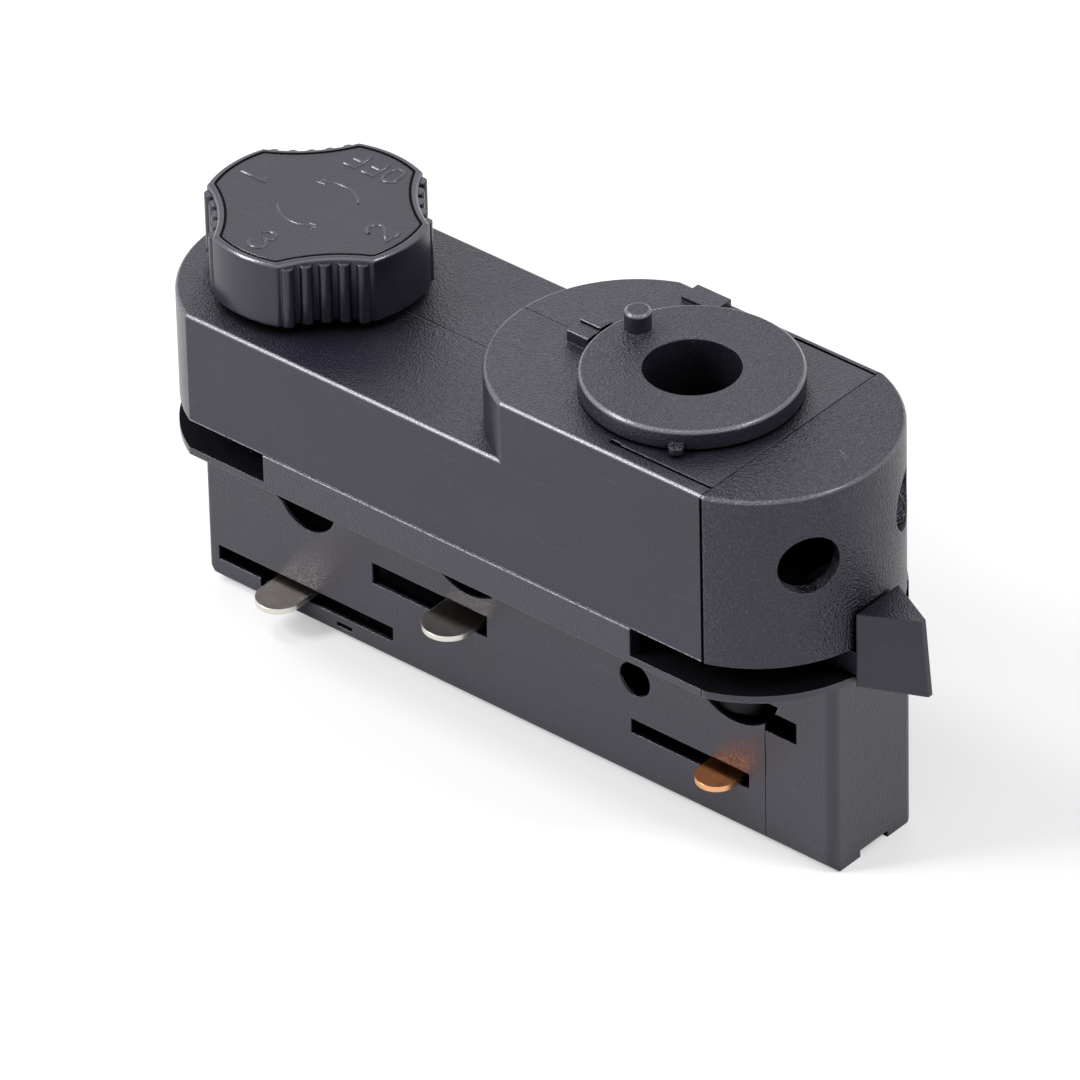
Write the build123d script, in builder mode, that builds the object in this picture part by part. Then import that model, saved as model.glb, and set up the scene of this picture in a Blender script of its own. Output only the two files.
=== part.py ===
from build123d import *
from math import cos, degrees, radians, sin, sqrt
import os

os.makedirs("parts", exist_ok=True)

# Lengths are in mm. The origin is on the axis of the mount bore, in the top face of the swivel disc.
# X runs from the knob end to the lever end, and Z points up, away from the track.

# Housing, seen from above
housing_width = 36.3
housing_left_x = -82.5
housing_right_x = 29.8
left_end_bulge = 2.25
right_end_bulge = 1.05
raised_left_x = -29.3
raised_wall_bulge = 1.45
cross_seam_x = 16.4
long_seam_y = 0.7
seam_gap = 0.12
shell_wall = 2.0

# Heights, counted from the top face of the swivel disc
raised_deck_z = -3.2
low_deck_z = -12.3
housing_bottom_z = -29.0
flange_top_z = -33.2
flange_thickness = 1.1
body_bottom_z = -63.2
deck_thickness = 2.0
top_edge_radius = 0.6

# Flange, neck band and narrow track body
band_step = 0.2
band_wall = 1.8
band_opening_x = -58.4
band_post_x = (-68.2, -64.3)
band_post_inset = 4.5
band_post_radius = 0.6
lever_gap_x = 4.3
body_width = 16.4
body_middle_y = 0.8
body_left_x = -79.1
body_right_x = 29.0
body_seam_x = 17.6
flange_seam_x = 16.2
body_wall = 1.5
body_floor = 2.4
body_foot_chamfer = 1.2
body_toe_length = 2.0
body_toe_height = 2.5
body_corner_radius = 1.5
foot_groove_width = 5.6
foot_groove_depth = 1.0

# Shaft axes and the blades they turn
knob_x = -63.8
neutral_x = -34.8
core_radius = 4.0
neck_radius = 3.0
pivot_radius = 1.8
running_gap = 0.1
air_gap = 0.3
blade_thickness = 0.8
blade_ring_radius = 5.6
phase_blade_z = -58.5
phase_blade_reach = 13.7
phase_blade_width = 6.4
neutral_blade_z = -50.5
neutral_blade_reach = 12.8
neutral_blade_width = 7.2
earth_blade_z = -54.9
earth_blade_reach = 11.7
earth_blade_width = 5.8
earth_leg_y = -1.9

# Openings in the side walls of the narrow body
phase_slot = (-77.2, -46.3, -59.6, -57.3)
neutral_slot = (-49.7, -29.7, -51.5, -48.2)
earth_slot = (-5.1, 14.9, -55.7, -53.4)
drain_notch_x = -69.2
drain_notch_size = 1.2
drain_slot = (-56.3, -53.6, -61.3, -60.6)
pocket_top_z = -40.6
pocket_bottom_z = -45.8
half_moon_radius = 7.7
half_moon_z = -38.3
half_moon_shift = 1.9
thumb_recess_radius = 5.0
thumb_recess_x = -60.9
thumb_recess_z = -42.9
thumb_recess_depth = 0.8
sight_hole_x = -4.3
sight_hole_z = -46.9
sight_hole_radius = 2.6
end_window_length = 5.3
end_window_z = (-45.1, -41.8)

# Lever, locking wings and the link between the two lever-driven shafts
lever_top_gap = 0.4
lever_thickness = 3.5
lever_hub_radius = 6.2
lever_arm_width = 7.6
handle_face_gap = 0.6
handle_width = 8.6
handle_top_z = -23.0
handle_bottom_z = -34.2
handle_top_reach = 38.0
handle_bottom_reach = 39.1
handle_nose_width = 0.8
collar_radius = 6.6
collar_thickness = 4.4
wing_reach = 11.4
wing_width = 5.2
crank_radius = 4.5
crank_angle = 135
crank_pin_radius = 1.1
link_width = 4.4
link_thickness = 1.2
link_gap = 0.5
open_pivot_gap = 0.3

# Bearing plate let into the flange, and the carrier plate above the link
plate_thickness = 1.6
plate_ledge = 0.7
carrier_top_z = -24.4
carrier_thickness = 1.4
carrier_left_x = -57.5
carrier_right_x = 8.5

# Swivel disc that carries the luminaire
disc_radius = 14.7
disc_thickness = 2.7
bore_radius = 6.5
stem_radius = 8.5
stem_bottom_z = -14.0
stem_boss_wall = 2.6
stem_boss_bottom_z = -10.4
ring_thickness = 0.8
ring_depth = 0.9
peg_radius = 1.8
peg_height = 3.0
peg_distance = 11.5
peg_angle = 167
stop_nub_angle = -58
stop_nub_radius = 1.0
stop_nub_reach = 16.3
lug_inner_radius = 16.0
lug_outer_x = -19.5
lug_front_y = -1.9
lug_rear_y = 2.8
lug_front_top_z = -1.4
lug_rear_top_z = -1.1

# Selector knob
knob_radius = 15.6
knob_top_z = -1.1
knob_bottom_gap = 1.7
scallop_depth = 2.4
scallop_angle = 45
scallop_half_angle = 24
lobe_corner_radius = 0.5
knob_edge_radius = 0.5
knob_rib_radius = 0.85
knob_rib_count = 5
knob_rib_pitch = 2.5
knob_stub_radius = 6.0
knob_stub_end_z = -18.6
knob_skin = 2.6
face_plate_thickness = 0.9
face_plate_margin = 1.0
shaft_flat = 2.2
detent_radius = 5.4
detent_notch_radius = 1.0
detent_notch_depth = 0.4
detent_top_z = -20.2
detent_thickness = 2.6

# Screws, all 3 mm
screw_radius = 1.45
screw_hole_radius = 1.5
screw_clearance_radius = 1.7
screw_head_radius = 2.8
screw_head_height = 2.0
base_screw_x = (-52.0, -6.0)
base_screw_inset = 5.15
base_boss_radius = 3.6
cross_screw_x = (-30.0, 12.0)
cross_screw_z = -20.0
cross_boss_radius = 4.2
end_screw_x = 19.6
end_screw_inset = 5.75
end_boss_radius = 3.0

# Round holes in the rounded end, and the grooves and the snap block in the deck edges
side_hole_radius = 4.25
side_hole_z = -13.85
side_hole_angle = 30
groove_width = 0.45
groove_depth = 0.6
front_groove_left_x = -0.5
front_groove_inset = 2.05
front_pocket_length = 1.6
front_pocket_width = 0.7
rear_groove_left_x = 2.9
rear_groove_inset = 0.9
snap_block_x = (-14.2, -8.6)
snap_block_width = 3.4
snap_block_height = 0.6

# Contact strips and terminals
contact_thickness = 0.6
contact_width = 3.0
contact_leg_offset = 8.0
contact_top_z = -19.4
terminal_length = 6.0
terminal_width = 5.0
terminal_height = 6.0
terminal_hole_radius = 1.3
terminal_screw_radius = 1.2
terminal_screw_length = 3.6
terminal_screw_stand = 1.2

# Values that follow from the sizes above
half_width = housing_width / 2
left_end_radius = half_width + left_end_bulge
right_end_radius = half_width + right_end_bulge
raised_wall_radius = half_width + raised_wall_bulge
base_screw_y = half_width - base_screw_inset
end_screw_y = half_width - end_screw_inset
left_centre_x = housing_left_x + left_end_radius
right_centre_x = housing_right_x - right_end_radius
raised_centre_x = raised_left_x + raised_wall_radius
lever_x = right_centre_x
flange_bottom_z = flange_top_z - flange_thickness
plate_top_z = flange_top_z - running_gap
plate_bottom_z = plate_top_z - plate_thickness
body_front_y = body_middle_y - body_width / 2
body_rear_y = body_middle_y + body_width / 2
cavity_half_width = body_width / 2 - body_wall
plate_half_width = cavity_half_width + body_wall / 3
cavity_floor_z = body_bottom_z + body_floor
cavity_left_x = body_left_x + body_wall
cavity_right_x = body_seam_x - body_wall / 1.25
plate_left_x = cavity_left_x - plate_ledge + running_gap
plate_right_x = flange_seam_x - body_wall / 3
lever_top_z = housing_bottom_z - lever_top_gap
lever_bottom_z = lever_top_z - lever_thickness
link_bottom_z = lever_top_z + link_gap
link_top_z = link_bottom_z + link_thickness
carrier_bottom_z = carrier_top_z - carrier_thickness
knob_bottom_z = low_deck_z + knob_bottom_gap
pocket_radius = wing_reach + air_gap
collar_bottom_z = pocket_bottom_z + (pocket_top_z - pocket_bottom_z - collar_thickness) / 2
front_seam = (cross_seam_x - seam_gap / 2, long_seam_y - seam_gap / 2, 0)
rear_seam = (cross_seam_x - seam_gap / 2, long_seam_y + seam_gap / 2, 0)
end_seam = (cross_seam_x + seam_gap / 2, 0, 0)
# Longer than the whole part, for blocks that cover all of it on one side of a seam
ample = 300


# Outline with two straight sides and a rounded left and right end
def rounded_plan(left_centre, left_radius, inset=0.0):
    half = half_width - inset
    left = left_radius - inset
    right = right_end_radius - inset
    left_corner = left_centre - sqrt(left**2 - half**2)
    right_corner = right_centre_x + sqrt(right**2 - half**2)
    with BuildSketch() as plan:
        with BuildLine():
            Line((left_corner, -half), (right_corner, -half))
            ThreePointArc((right_corner, -half), (right_centre_x + right, 0), (right_corner, half))
            Line((right_corner, half), (left_corner, half))
            ThreePointArc((left_corner, half), (left_centre - left, 0), (left_corner, -half))
        make_face()
    return plan.sketch


def housing_plan(inset=0.0):
    return rounded_plan(left_centre_x, left_end_radius, inset)


def raised_plan(inset=0.0):
    return rounded_plan(raised_centre_x, raised_wall_radius, inset)


# Lobed outline of the knob: a circle with four shallow scallops on the diagonals
def knob_plan(inset=0.0):
    cusp = knob_radius
    valley = knob_radius - scallop_depth
    spread = cos(radians(scallop_half_angle))
    distance = (cusp**2 - valley**2) / (2 * (cusp * spread - valley))
    with BuildSketch() as plan:
        Circle(knob_radius - inset)
        with PolarLocations(distance, 4, start_angle=scallop_angle):
            Circle(distance - valley + inset, mode=Mode.SUBTRACT)
        fillet(plan.vertices(), lobe_corner_radius)
    return plan.sketch, distance, distance - valley


# Round shaft section with one flat, as wide as the given play around it
def flatted_circle(play=0.0):
    with BuildSketch() as section:
        Circle(neck_radius + play)
        with Locations((shaft_flat + play, 0)):
            Rectangle(
                neck_radius, 3 * neck_radius, align=(Align.MIN, Align.CENTER), mode=Mode.SUBTRACT
            )
    return section.sketch


# The whole upper housing, hollow and open below, before it is parted along its seams
def upper_housing():
    step_x = raised_centre_x - sqrt(raised_wall_radius**2 - half_width**2)
    with BuildPart() as housing:
        with BuildSketch(Plane.XY.offset(housing_bottom_z)):
            add(housing_plan())
        extrude(amount=raised_deck_z - housing_bottom_z)
        # The deck drops at the knob end, behind the curved wall of the raised part
        with BuildSketch(Plane.XY.offset(low_deck_z)):
            with Locations((step_x, 0)):
                Rectangle(ample, ample, align=(Align.MAX, Align.CENTER))
            with Locations((raised_centre_x, 0)):
                Circle(raised_wall_radius, mode=Mode.SUBTRACT)
        extrude(amount=-low_deck_z, mode=Mode.SUBTRACT)
        fillet(housing.faces().sort_by(Axis.Z)[-1].edges(), top_edge_radius)
        low_deck = housing.faces().filter_by(Plane.XY).filter_by_position(Axis.Z, low_deck_z, low_deck_z)
        low_rim = [edge for edge in low_deck.edges() if edge.center().X < raised_left_x - top_edge_radius]
        fillet(low_rim, top_edge_radius)
        with BuildSketch(Plane.XY.offset(housing_bottom_z)):
            add(housing_plan(shell_wall))
        extrude(amount=low_deck_z - deck_thickness - housing_bottom_z, mode=Mode.SUBTRACT)
        with BuildSketch(Plane.XY.offset(low_deck_z - deck_thickness)):
            add(raised_plan(shell_wall))
        extrude(amount=raised_deck_z - low_deck_z, mode=Mode.SUBTRACT)
        # Bearing boss of the swivel stem
        with BuildSketch(Plane.XY.offset(stem_boss_bottom_z)):
            Circle(stem_radius + stem_boss_wall)
        extrude(amount=raised_deck_z - deck_thickness - stem_boss_bottom_z)
        with BuildSketch(Plane.XY.offset(stem_boss_bottom_z)):
            Circle(stem_radius + running_gap)
        extrude(amount=raised_deck_z - stem_boss_bottom_z, mode=Mode.SUBTRACT)
        # Bearing boss of the knob's stub
        stub_boss_bottom_z = knob_stub_end_z + ring_thickness + ring_depth
        with BuildSketch(Plane.XY.offset(stub_boss_bottom_z)):
            with Locations((knob_x, 0)):
                Circle(knob_stub_radius + shell_wall)
        extrude(amount=low_deck_z - deck_thickness - stub_boss_bottom_z)
        with BuildSketch(Plane.XY.offset(stub_boss_bottom_z)):
            with Locations((knob_x, 0)):
                Circle(knob_stub_radius + running_gap)
        extrude(amount=low_deck_z - stub_boss_bottom_z, mode=Mode.SUBTRACT)
        # Rib that backs the detent spring
        with Locations((knob_x - detent_radius - air_gap - 2 * contact_thickness, 0, detent_top_z)):
            Box(
                shell_wall,
                2 * detent_radius,
                low_deck_z - deck_thickness - detent_top_z + detent_thickness,
                align=(Align.MAX, Align.CENTER, Align.MIN),
            )
        # Bosses that the base screws bite into
        with BuildSketch(Plane.XY.offset(housing_bottom_z)):
            for x in base_screw_x:
                with Locations((x, base_screw_y), (x, -base_screw_y)):
                    Circle(base_boss_radius)
        extrude(amount=carrier_bottom_z - housing_bottom_z)
        with BuildSketch(Plane.XY.offset(housing_bottom_z)):
            for x in base_screw_x:
                with Locations((x, base_screw_y), (x, -base_screw_y)):
                    Circle(screw_hole_radius)
        extrude(amount=carrier_bottom_z - housing_bottom_z, mode=Mode.SUBTRACT)
        # Bosses across the housing that hold the two halves together
        with BuildSketch(Plane.XZ.offset(-half_width + shell_wall / 2)):
            with Locations(*[(x, cross_screw_z) for x in cross_screw_x]):
                Circle(cross_boss_radius)
        extrude(amount=housing_width - shell_wall)
        with BuildSketch(Plane.XZ.offset(-half_width - shell_wall)):
            with Locations(*[(x, cross_screw_z) for x in cross_screw_x]):
                Circle(screw_head_radius + air_gap)
        extrude(amount=shell_wall + screw_head_height + 2 * air_gap, mode=Mode.SUBTRACT)
        with BuildSketch(Plane.XZ.offset(-half_width - shell_wall)):
            with Locations(*[(x, cross_screw_z) for x in cross_screw_x]):
                Circle(screw_hole_radius)
        extrude(amount=housing_width - shell_wall - cross_boss_radius, mode=Mode.SUBTRACT)
        # Grooves of the snap edges in the raised deck, the front one with a small pocket at its end
        front_y = front_groove_inset - half_width
        rear_y = half_width - rear_groove_inset
        with BuildSketch(Plane.XY.offset(raised_deck_z)):
            with Locations((front_groove_left_x, front_y)):
                Rectangle(cross_seam_x - front_groove_left_x, groove_width, align=Align.MIN)
                Rectangle(front_pocket_length, front_pocket_width, align=Align.MIN)
            with Locations((rear_groove_left_x, rear_y)):
                Rectangle(
                    cross_seam_x - rear_groove_left_x, groove_width, align=(Align.MIN, Align.MAX)
                )
        extrude(amount=-groove_depth, mode=Mode.SUBTRACT)
        # Snap block that stands proud at the rear edge
        with BuildSketch(Plane.XY.offset(raised_deck_z - top_edge_radius)):
            with Locations((snap_block_x[0], half_width)):
                Rectangle(
                    snap_block_x[1] - snap_block_x[0], snap_block_width, align=(Align.MIN, Align.MAX)
                )
        extrude(amount=snap_block_height + top_edge_radius)
    return housing.part


# Half of the stop lug that stands on the raised deck beside the disc
def stop_lug(near_y, far_y, top_z):
    with BuildPart() as lug:
        with BuildSketch(Plane.XY.offset(raised_deck_z)):
            with Locations((lug_outer_x, near_y)):
                Rectangle(lug_inner_radius, far_y - near_y, align=(Align.MIN, Align.MIN))
            Circle(lug_inner_radius, mode=Mode.SUBTRACT)
        extrude(amount=top_z - raised_deck_z)
        fillet(lug.faces().sort_by(Axis.Z)[-1].edges(), running_gap)
    return lug.part


housing_whole = upper_housing()

with BuildPart() as front_shell:
    add(housing_whole)
    with Locations(front_seam):
        Box(ample, ample, ample, align=(Align.MAX, Align.MAX, Align.CENTER), mode=Mode.INTERSECT)
    add(stop_lug(lug_front_y, long_seam_y - seam_gap / 2, lug_front_top_z))

with BuildPart() as rear_shell:
    add(housing_whole)
    with Locations(rear_seam):
        Box(ample, ample, ample, align=(Align.MAX, Align.MIN, Align.CENTER), mode=Mode.INTERSECT)
    add(stop_lug(long_seam_y + seam_gap / 2, lug_rear_y, lug_rear_top_z))

# Rounded end of the housing, with a floor, two round side holes and a tongue along each side
with BuildPart() as end_housing:
    add(housing_whole)
    with Locations(end_seam):
        Box(ample, ample, ample, align=(Align.MIN, Align.CENTER, Align.CENTER), mode=Mode.INTERSECT)
    with BuildSketch(Plane.XY.offset(housing_bottom_z)) as floor:
        add(housing_plan())
        with Locations((cross_seam_x + seam_gap / 2, 0)):
            Rectangle(
                ample, ample, align=(Align.MAX, Align.CENTER), mode=Mode.SUBTRACT
            )
    extrude(amount=shell_wall)
    for side in (-1, 1):
        with BuildSketch(
            Plane(
                origin=(lever_x, 0, side_hole_z),
                z_dir=(cos(radians(side_hole_angle)), side * sin(radians(side_hole_angle)), 0),
            )
        ):
            Circle(side_hole_radius)
        extrude(amount=2 * right_end_radius, mode=Mode.SUBTRACT)
        with Locations(
            (cross_seam_x - shell_wall, side * (half_width - shell_wall - running_gap), side_hole_z)
        ):
            Box(
                3 * shell_wall,
                body_wall,
                side_hole_radius,
                align=(Align.MIN, Align.MAX if side > 0 else Align.MIN, Align.MIN),
            )
    with BuildSketch(Plane.XY.offset(housing_bottom_z)):
        with Locations((end_screw_x, end_screw_y)):
            Circle(end_boss_radius)
    extrude(amount=2 * end_boss_radius)
    with BuildSketch(Plane.XY.offset(housing_bottom_z)):
        with Locations((end_screw_x, end_screw_y)):
            Circle(screw_hole_radius)
    extrude(amount=2 * end_boss_radius - shell_wall / 2, mode=Mode.SUBTRACT)

# The narrow body's outer form over the given stretch, with its foot groove and chamfered feet
def body_block(left_x, right_x):
    foot = body_foot_chamfer
    with BuildPart() as block:
        with BuildSketch(Plane.YZ.offset(left_x)):
            with BuildLine():
                Polyline(
                    (body_front_y, flange_bottom_z),
                    (body_front_y, body_bottom_z + foot),
                    (body_front_y + foot, body_bottom_z),
                    (body_rear_y - foot, body_bottom_z),
                    (body_rear_y, body_bottom_z + foot),
                    (body_rear_y, flange_bottom_z),
                    close=True,
                )
            make_face()
            with Locations((body_middle_y, body_bottom_z)):
                Rectangle(foot_groove_width, 2 * foot_groove_depth, mode=Mode.SUBTRACT)
        extrude(amount=right_x - left_x)
    return block.part


# A slot cut from the front as far as the given y, with its two x values and two z values
def slot_cutter(slot, far_y):
    with BuildPart() as cutter:
        with Locations((slot[0], far_y, slot[2])):
            Box(
                slot[1] - slot[0],
                2 * body_width,
                slot[3] - slot[2],
                align=(Align.MIN, Align.MAX, Align.MIN),
            )
    return cutter.part


# Room for a collar and for the quarter turn of its wing through the rear wall, and the half-moon
# window that shows the collar in the front wall
def wing_pocket(x):
    with BuildPart() as pocket:
        with BuildSketch(Plane.XY.offset(pocket_bottom_z)):
            with Locations((x, 0)):
                Circle(pocket_radius)
            with Locations((x, -wing_width / 2 - air_gap)):
                Rectangle(ample, ample, align=(Align.CENTER, Align.MAX), mode=Mode.SUBTRACT)
            with Locations((x, 0)):
                Circle(collar_radius + air_gap)
        extrude(amount=pocket_top_z - pocket_bottom_z)
        with BuildSketch(Plane.XZ.offset(body_wall - body_front_y)):
            with Locations((x + half_moon_shift, half_moon_z)):
                Circle(half_moon_radius)
            with Locations((x, pocket_top_z)):
                Rectangle(ample, ample, align=(Align.CENTER, Align.MIN), mode=Mode.SUBTRACT)
        extrude(amount=-2 * body_wall)
    return pocket.part


with BuildPart() as track_body:
    add(body_block(body_left_x, body_seam_x))
    # Toe cut off the lower corner of the knob end
    with BuildSketch(Plane.XZ.offset(-body_rear_y)):
        with BuildLine():
            Polyline(
                (body_left_x, body_bottom_z + body_toe_height),
                (body_left_x + body_toe_length, body_bottom_z),
                (body_left_x, body_bottom_z),
                close=True,
            )
        make_face()
    extrude(amount=body_width, mode=Mode.SUBTRACT)
    fillet(
        track_body.faces().sort_by(Axis.X)[0].edges().filter_by(Axis.Z).group_by(SortBy.LENGTH)[-1],
        body_corner_radius / 2,
    )
    with BuildSketch(Plane.XY.offset(flange_bottom_z)):
        add(housing_plan(-band_step))
        with Locations((flange_seam_x, 0)):
            Rectangle(
                ample, ample, align=(Align.MIN, Align.CENTER), mode=Mode.SUBTRACT
            )
    extrude(amount=flange_thickness)
    # Neck band, open round the knob end and where the lever swings
    with BuildSketch(Plane.XY.offset(flange_top_z)) as band:
        add(housing_plan(-band_step))
        add(housing_plan(band_wall), mode=Mode.SUBTRACT)
        with Locations((band_opening_x, 0)):
            Rectangle(
                ample, ample, align=(Align.MAX, Align.CENTER), mode=Mode.SUBTRACT
            )
        with Locations((flange_seam_x, 0)):
            Rectangle(
                ample, ample, align=(Align.MIN, Align.CENTER), mode=Mode.SUBTRACT
            )
        with Locations((lever_gap_x, 0)):
            Rectangle(
                ample, ample, align=(Align.MIN, Align.MAX), mode=Mode.SUBTRACT
            )
        for x in band_post_x:
            with Locations((x, half_width - band_post_inset), (x, band_post_inset - half_width)):
                Circle(band_post_radius)
        for x in base_screw_x:
            with Locations((x, base_screw_y), (x, -base_screw_y)):
                Circle(base_boss_radius)
    extrude(amount=housing_bottom_z - flange_top_z)
    # Inside of the narrow body, stepped out at the top for the bearing plate
    with BuildSketch(Plane.XY.offset(cavity_floor_z)):
        with Locations((cavity_left_x, body_middle_y)):
            Rectangle(
                cavity_right_x - cavity_left_x, 2 * cavity_half_width, align=(Align.MIN, Align.CENTER)
            )
    extrude(amount=plate_bottom_z - cavity_floor_z, mode=Mode.SUBTRACT)
    with BuildSketch(Plane.XY.offset(plate_bottom_z)):
        with Locations((plate_left_x - running_gap, body_middle_y)):
            Rectangle(
                plate_right_x - plate_left_x + 2 * running_gap,
                2 * (plate_half_width + running_gap),
                align=(Align.MIN, Align.CENTER),
            )
    extrude(amount=flange_top_z - plate_bottom_z, mode=Mode.SUBTRACT)
    # The phase blade turns to both sides, the other two only to the front
    add(slot_cutter(phase_slot, body_rear_y), mode=Mode.SUBTRACT)
    add(slot_cutter(neutral_slot, body_middle_y), mode=Mode.SUBTRACT)
    add(slot_cutter(earth_slot, body_middle_y), mode=Mode.SUBTRACT)
    add(slot_cutter(drain_slot, body_middle_y), mode=Mode.SUBTRACT)
    for x in (knob_x, neutral_x, lever_x):
        add(wing_pocket(x), mode=Mode.SUBTRACT)
    with BuildSketch(Plane.XZ.offset(-body_middle_y)):
        with Locations((sight_hole_x, sight_hole_z)):
            Circle(sight_hole_radius)
        with Locations((drain_notch_x, phase_slot[2])):
            Rectangle(drain_notch_size, 2 * drain_notch_size)
    extrude(amount=body_width, mode=Mode.SUBTRACT)
    # Shallow round recess in the front face below the window at the knob end
    with BuildSketch(Plane.XZ.offset(-body_front_y)):
        with Locations((thumb_recess_x, thumb_recess_z)):
            Circle(thumb_recess_radius)
        with Locations((thumb_recess_x, pocket_top_z)):
            Rectangle(ample, ample, align=(Align.CENTER, Align.MIN), mode=Mode.SUBTRACT)
    extrude(amount=-thumb_recess_depth, mode=Mode.SUBTRACT)
    with BuildSketch(Plane.XY.offset(body_bottom_z)):
        with Locations(*[(x, 0) for x in (knob_x, neutral_x, lever_x)]):
            Circle(pivot_radius + running_gap)
    extrude(amount=body_floor, mode=Mode.SUBTRACT)
    with BuildSketch(Plane.XY.offset(flange_bottom_z)):
        for x in base_screw_x:
            with Locations((x, base_screw_y), (x, -base_screw_y)):
                Circle(screw_clearance_radius)
    extrude(amount=housing_bottom_z - flange_bottom_z, mode=Mode.SUBTRACT)
    with BuildSketch(Plane.XY.offset(flange_bottom_z)):
        for x in base_screw_x:
            with Locations((x, base_screw_y), (x, -base_screw_y)):
                Circle(screw_head_radius + air_gap)
    extrude(amount=screw_head_height + air_gap, mode=Mode.SUBTRACT)

with BuildPart() as track_body_end:
    add(body_block(body_seam_x + seam_gap, body_right_x))
    fillet(
        track_body_end.faces().sort_by(Axis.X)[-1].edges().filter_by(Axis.Z).group_by(SortBy.LENGTH)[-1],
        body_corner_radius,
    )
    with BuildSketch(Plane.XY.offset(flange_bottom_z)):
        add(housing_plan(-band_step))
        with Locations((flange_seam_x + seam_gap, 0)):
            Rectangle(
                ample, ample, align=(Align.MAX, Align.CENTER), mode=Mode.SUBTRACT
            )
    extrude(amount=flange_thickness)
    with BuildSketch(Plane.XY.offset(flange_top_z)):
        add(housing_plan(-band_step))
        add(housing_plan(band_wall), mode=Mode.SUBTRACT)
        with Locations((flange_seam_x + seam_gap, 0)):
            Rectangle(
                ample, ample, align=(Align.MAX, Align.CENTER), mode=Mode.SUBTRACT
            )
        with Locations((lever_x, end_screw_y)):
            Rectangle(
                ample, ample, align=(Align.CENTER, Align.MAX), mode=Mode.SUBTRACT
            )
        with Locations((end_screw_x, end_screw_y)):
            Circle(end_boss_radius)
    extrude(amount=housing_bottom_z - flange_top_z)
    add(wing_pocket(lever_x), mode=Mode.SUBTRACT)
    end_window = (body_seam_x, body_seam_x + end_window_length, *end_window_z)
    add(slot_cutter(end_window, body_middle_y), mode=Mode.SUBTRACT)
    with BuildSketch(Plane.XY.offset(flange_bottom_z)):
        with Locations((end_screw_x, end_screw_y)):
            Circle(screw_clearance_radius)
    extrude(amount=housing_bottom_z - flange_bottom_z, mode=Mode.SUBTRACT)
    with BuildSketch(Plane.XY.offset(flange_bottom_z)):
        with Locations((end_screw_x, end_screw_y)):
            Circle(screw_head_radius + air_gap)
    extrude(amount=screw_head_height + air_gap, mode=Mode.SUBTRACT)

# Contact strips pass up beside each shaft: x of the leg, and y of its middle
phase_leg = (knob_x + contact_leg_offset, 0.0)
neutral_leg = (neutral_x - contact_leg_offset, 0.0)
earth_leg = (lever_x - contact_leg_offset, earth_leg_y)

with BuildPart() as bearing_plate:
    with BuildSketch(Plane.XY.offset(plate_bottom_z)):
        with Locations((plate_left_x, body_middle_y)):
            Rectangle(
                plate_right_x - plate_left_x,
                2 * plate_half_width,
                align=(Align.MIN, Align.CENTER),
            )
        with Locations(*[(x, 0) for x in (knob_x, neutral_x, lever_x)]):
            Circle(neck_radius + running_gap, mode=Mode.SUBTRACT)
        with Locations(phase_leg, neutral_leg, earth_leg):
            Rectangle(
                contact_thickness + air_gap, contact_width + air_gap, mode=Mode.SUBTRACT
            )
    extrude(amount=plate_thickness)

with BuildPart() as terminal_carrier:
    with BuildSketch(Plane.XY.offset(carrier_bottom_z)):
        with Locations((carrier_left_x, 0)):
            Rectangle(
                carrier_right_x - carrier_left_x,
                2 * (half_width - shell_wall - air_gap),
                align=(Align.MIN, Align.CENTER),
            )
        with Locations(phase_leg, neutral_leg, earth_leg):
            Rectangle(
                contact_thickness + air_gap, contact_width + air_gap, mode=Mode.SUBTRACT
            )
    extrude(amount=carrier_thickness)


# Strip from the top of a blade's ring to a terminal: a foot, a riser and a leg
def contact_strip(shaft_x, leg, blade_z):
    towards = 1 if leg[0] > shaft_x else -1
    foot_x = shaft_x + towards * (core_radius + 2 * air_gap)
    foot_z = blade_z + blade_thickness / 2 + air_gap
    with BuildPart() as strip:
        with Locations(((foot_x + leg[0]) / 2, leg[1], foot_z)):
            Box(
                abs(leg[0] - foot_x) + contact_thickness,
                contact_width,
                contact_thickness,
                align=(Align.CENTER, Align.CENTER, Align.MIN),
            )
        with Locations((leg[0], leg[1], foot_z)):
            Box(
                contact_thickness,
                contact_width,
                contact_top_z - foot_z,
                align=(Align.CENTER, Align.CENTER, Align.MIN),
            )
        corner = strip.edges().filter_by(Axis.Y).sort_by(Axis.Z)
        bend_edge = [
            e for e in corner.group_by(Axis.Z)[0]
            if abs(e.center().X - leg[0]) < contact_thickness
        ]
        fillet(bend_edge, contact_thickness * 0.9)
    return strip.part


with BuildPart() as phase_contact:
    add(contact_strip(knob_x, phase_leg, phase_blade_z))

with BuildPart() as neutral_contact:
    add(contact_strip(neutral_x, neutral_leg, neutral_blade_z))

with BuildPart() as earth_contact:
    add(contact_strip(lever_x, earth_leg, earth_blade_z))

# Terminal blocks stand beside their legs; the earth block is on the knob side of its leg
terminal_spots = [
    (leg[0] + side * (terminal_length + contact_thickness) / 2, leg[1])
    for leg, side in ((phase_leg, 1), (neutral_leg, 1), (earth_leg, -1))
]

with BuildPart() as terminal_blocks:
    with BuildSketch(Plane.XY.offset(carrier_top_z)):
        with Locations(*terminal_spots):
            Rectangle(terminal_length, terminal_width)
    extrude(amount=terminal_height)
    with BuildSketch(Plane.XZ.offset(-half_width)):
        with Locations(*[(x, carrier_top_z + terminal_height / 3) for x, y in terminal_spots]):
            Circle(terminal_hole_radius)
    extrude(amount=housing_width, mode=Mode.SUBTRACT)
    with BuildSketch(Plane.XY.offset(carrier_top_z + terminal_height)):
        with Locations(*terminal_spots):
            Circle(terminal_screw_radius + running_gap / 2)
    extrude(amount=-terminal_height / 2, mode=Mode.SUBTRACT)

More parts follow.
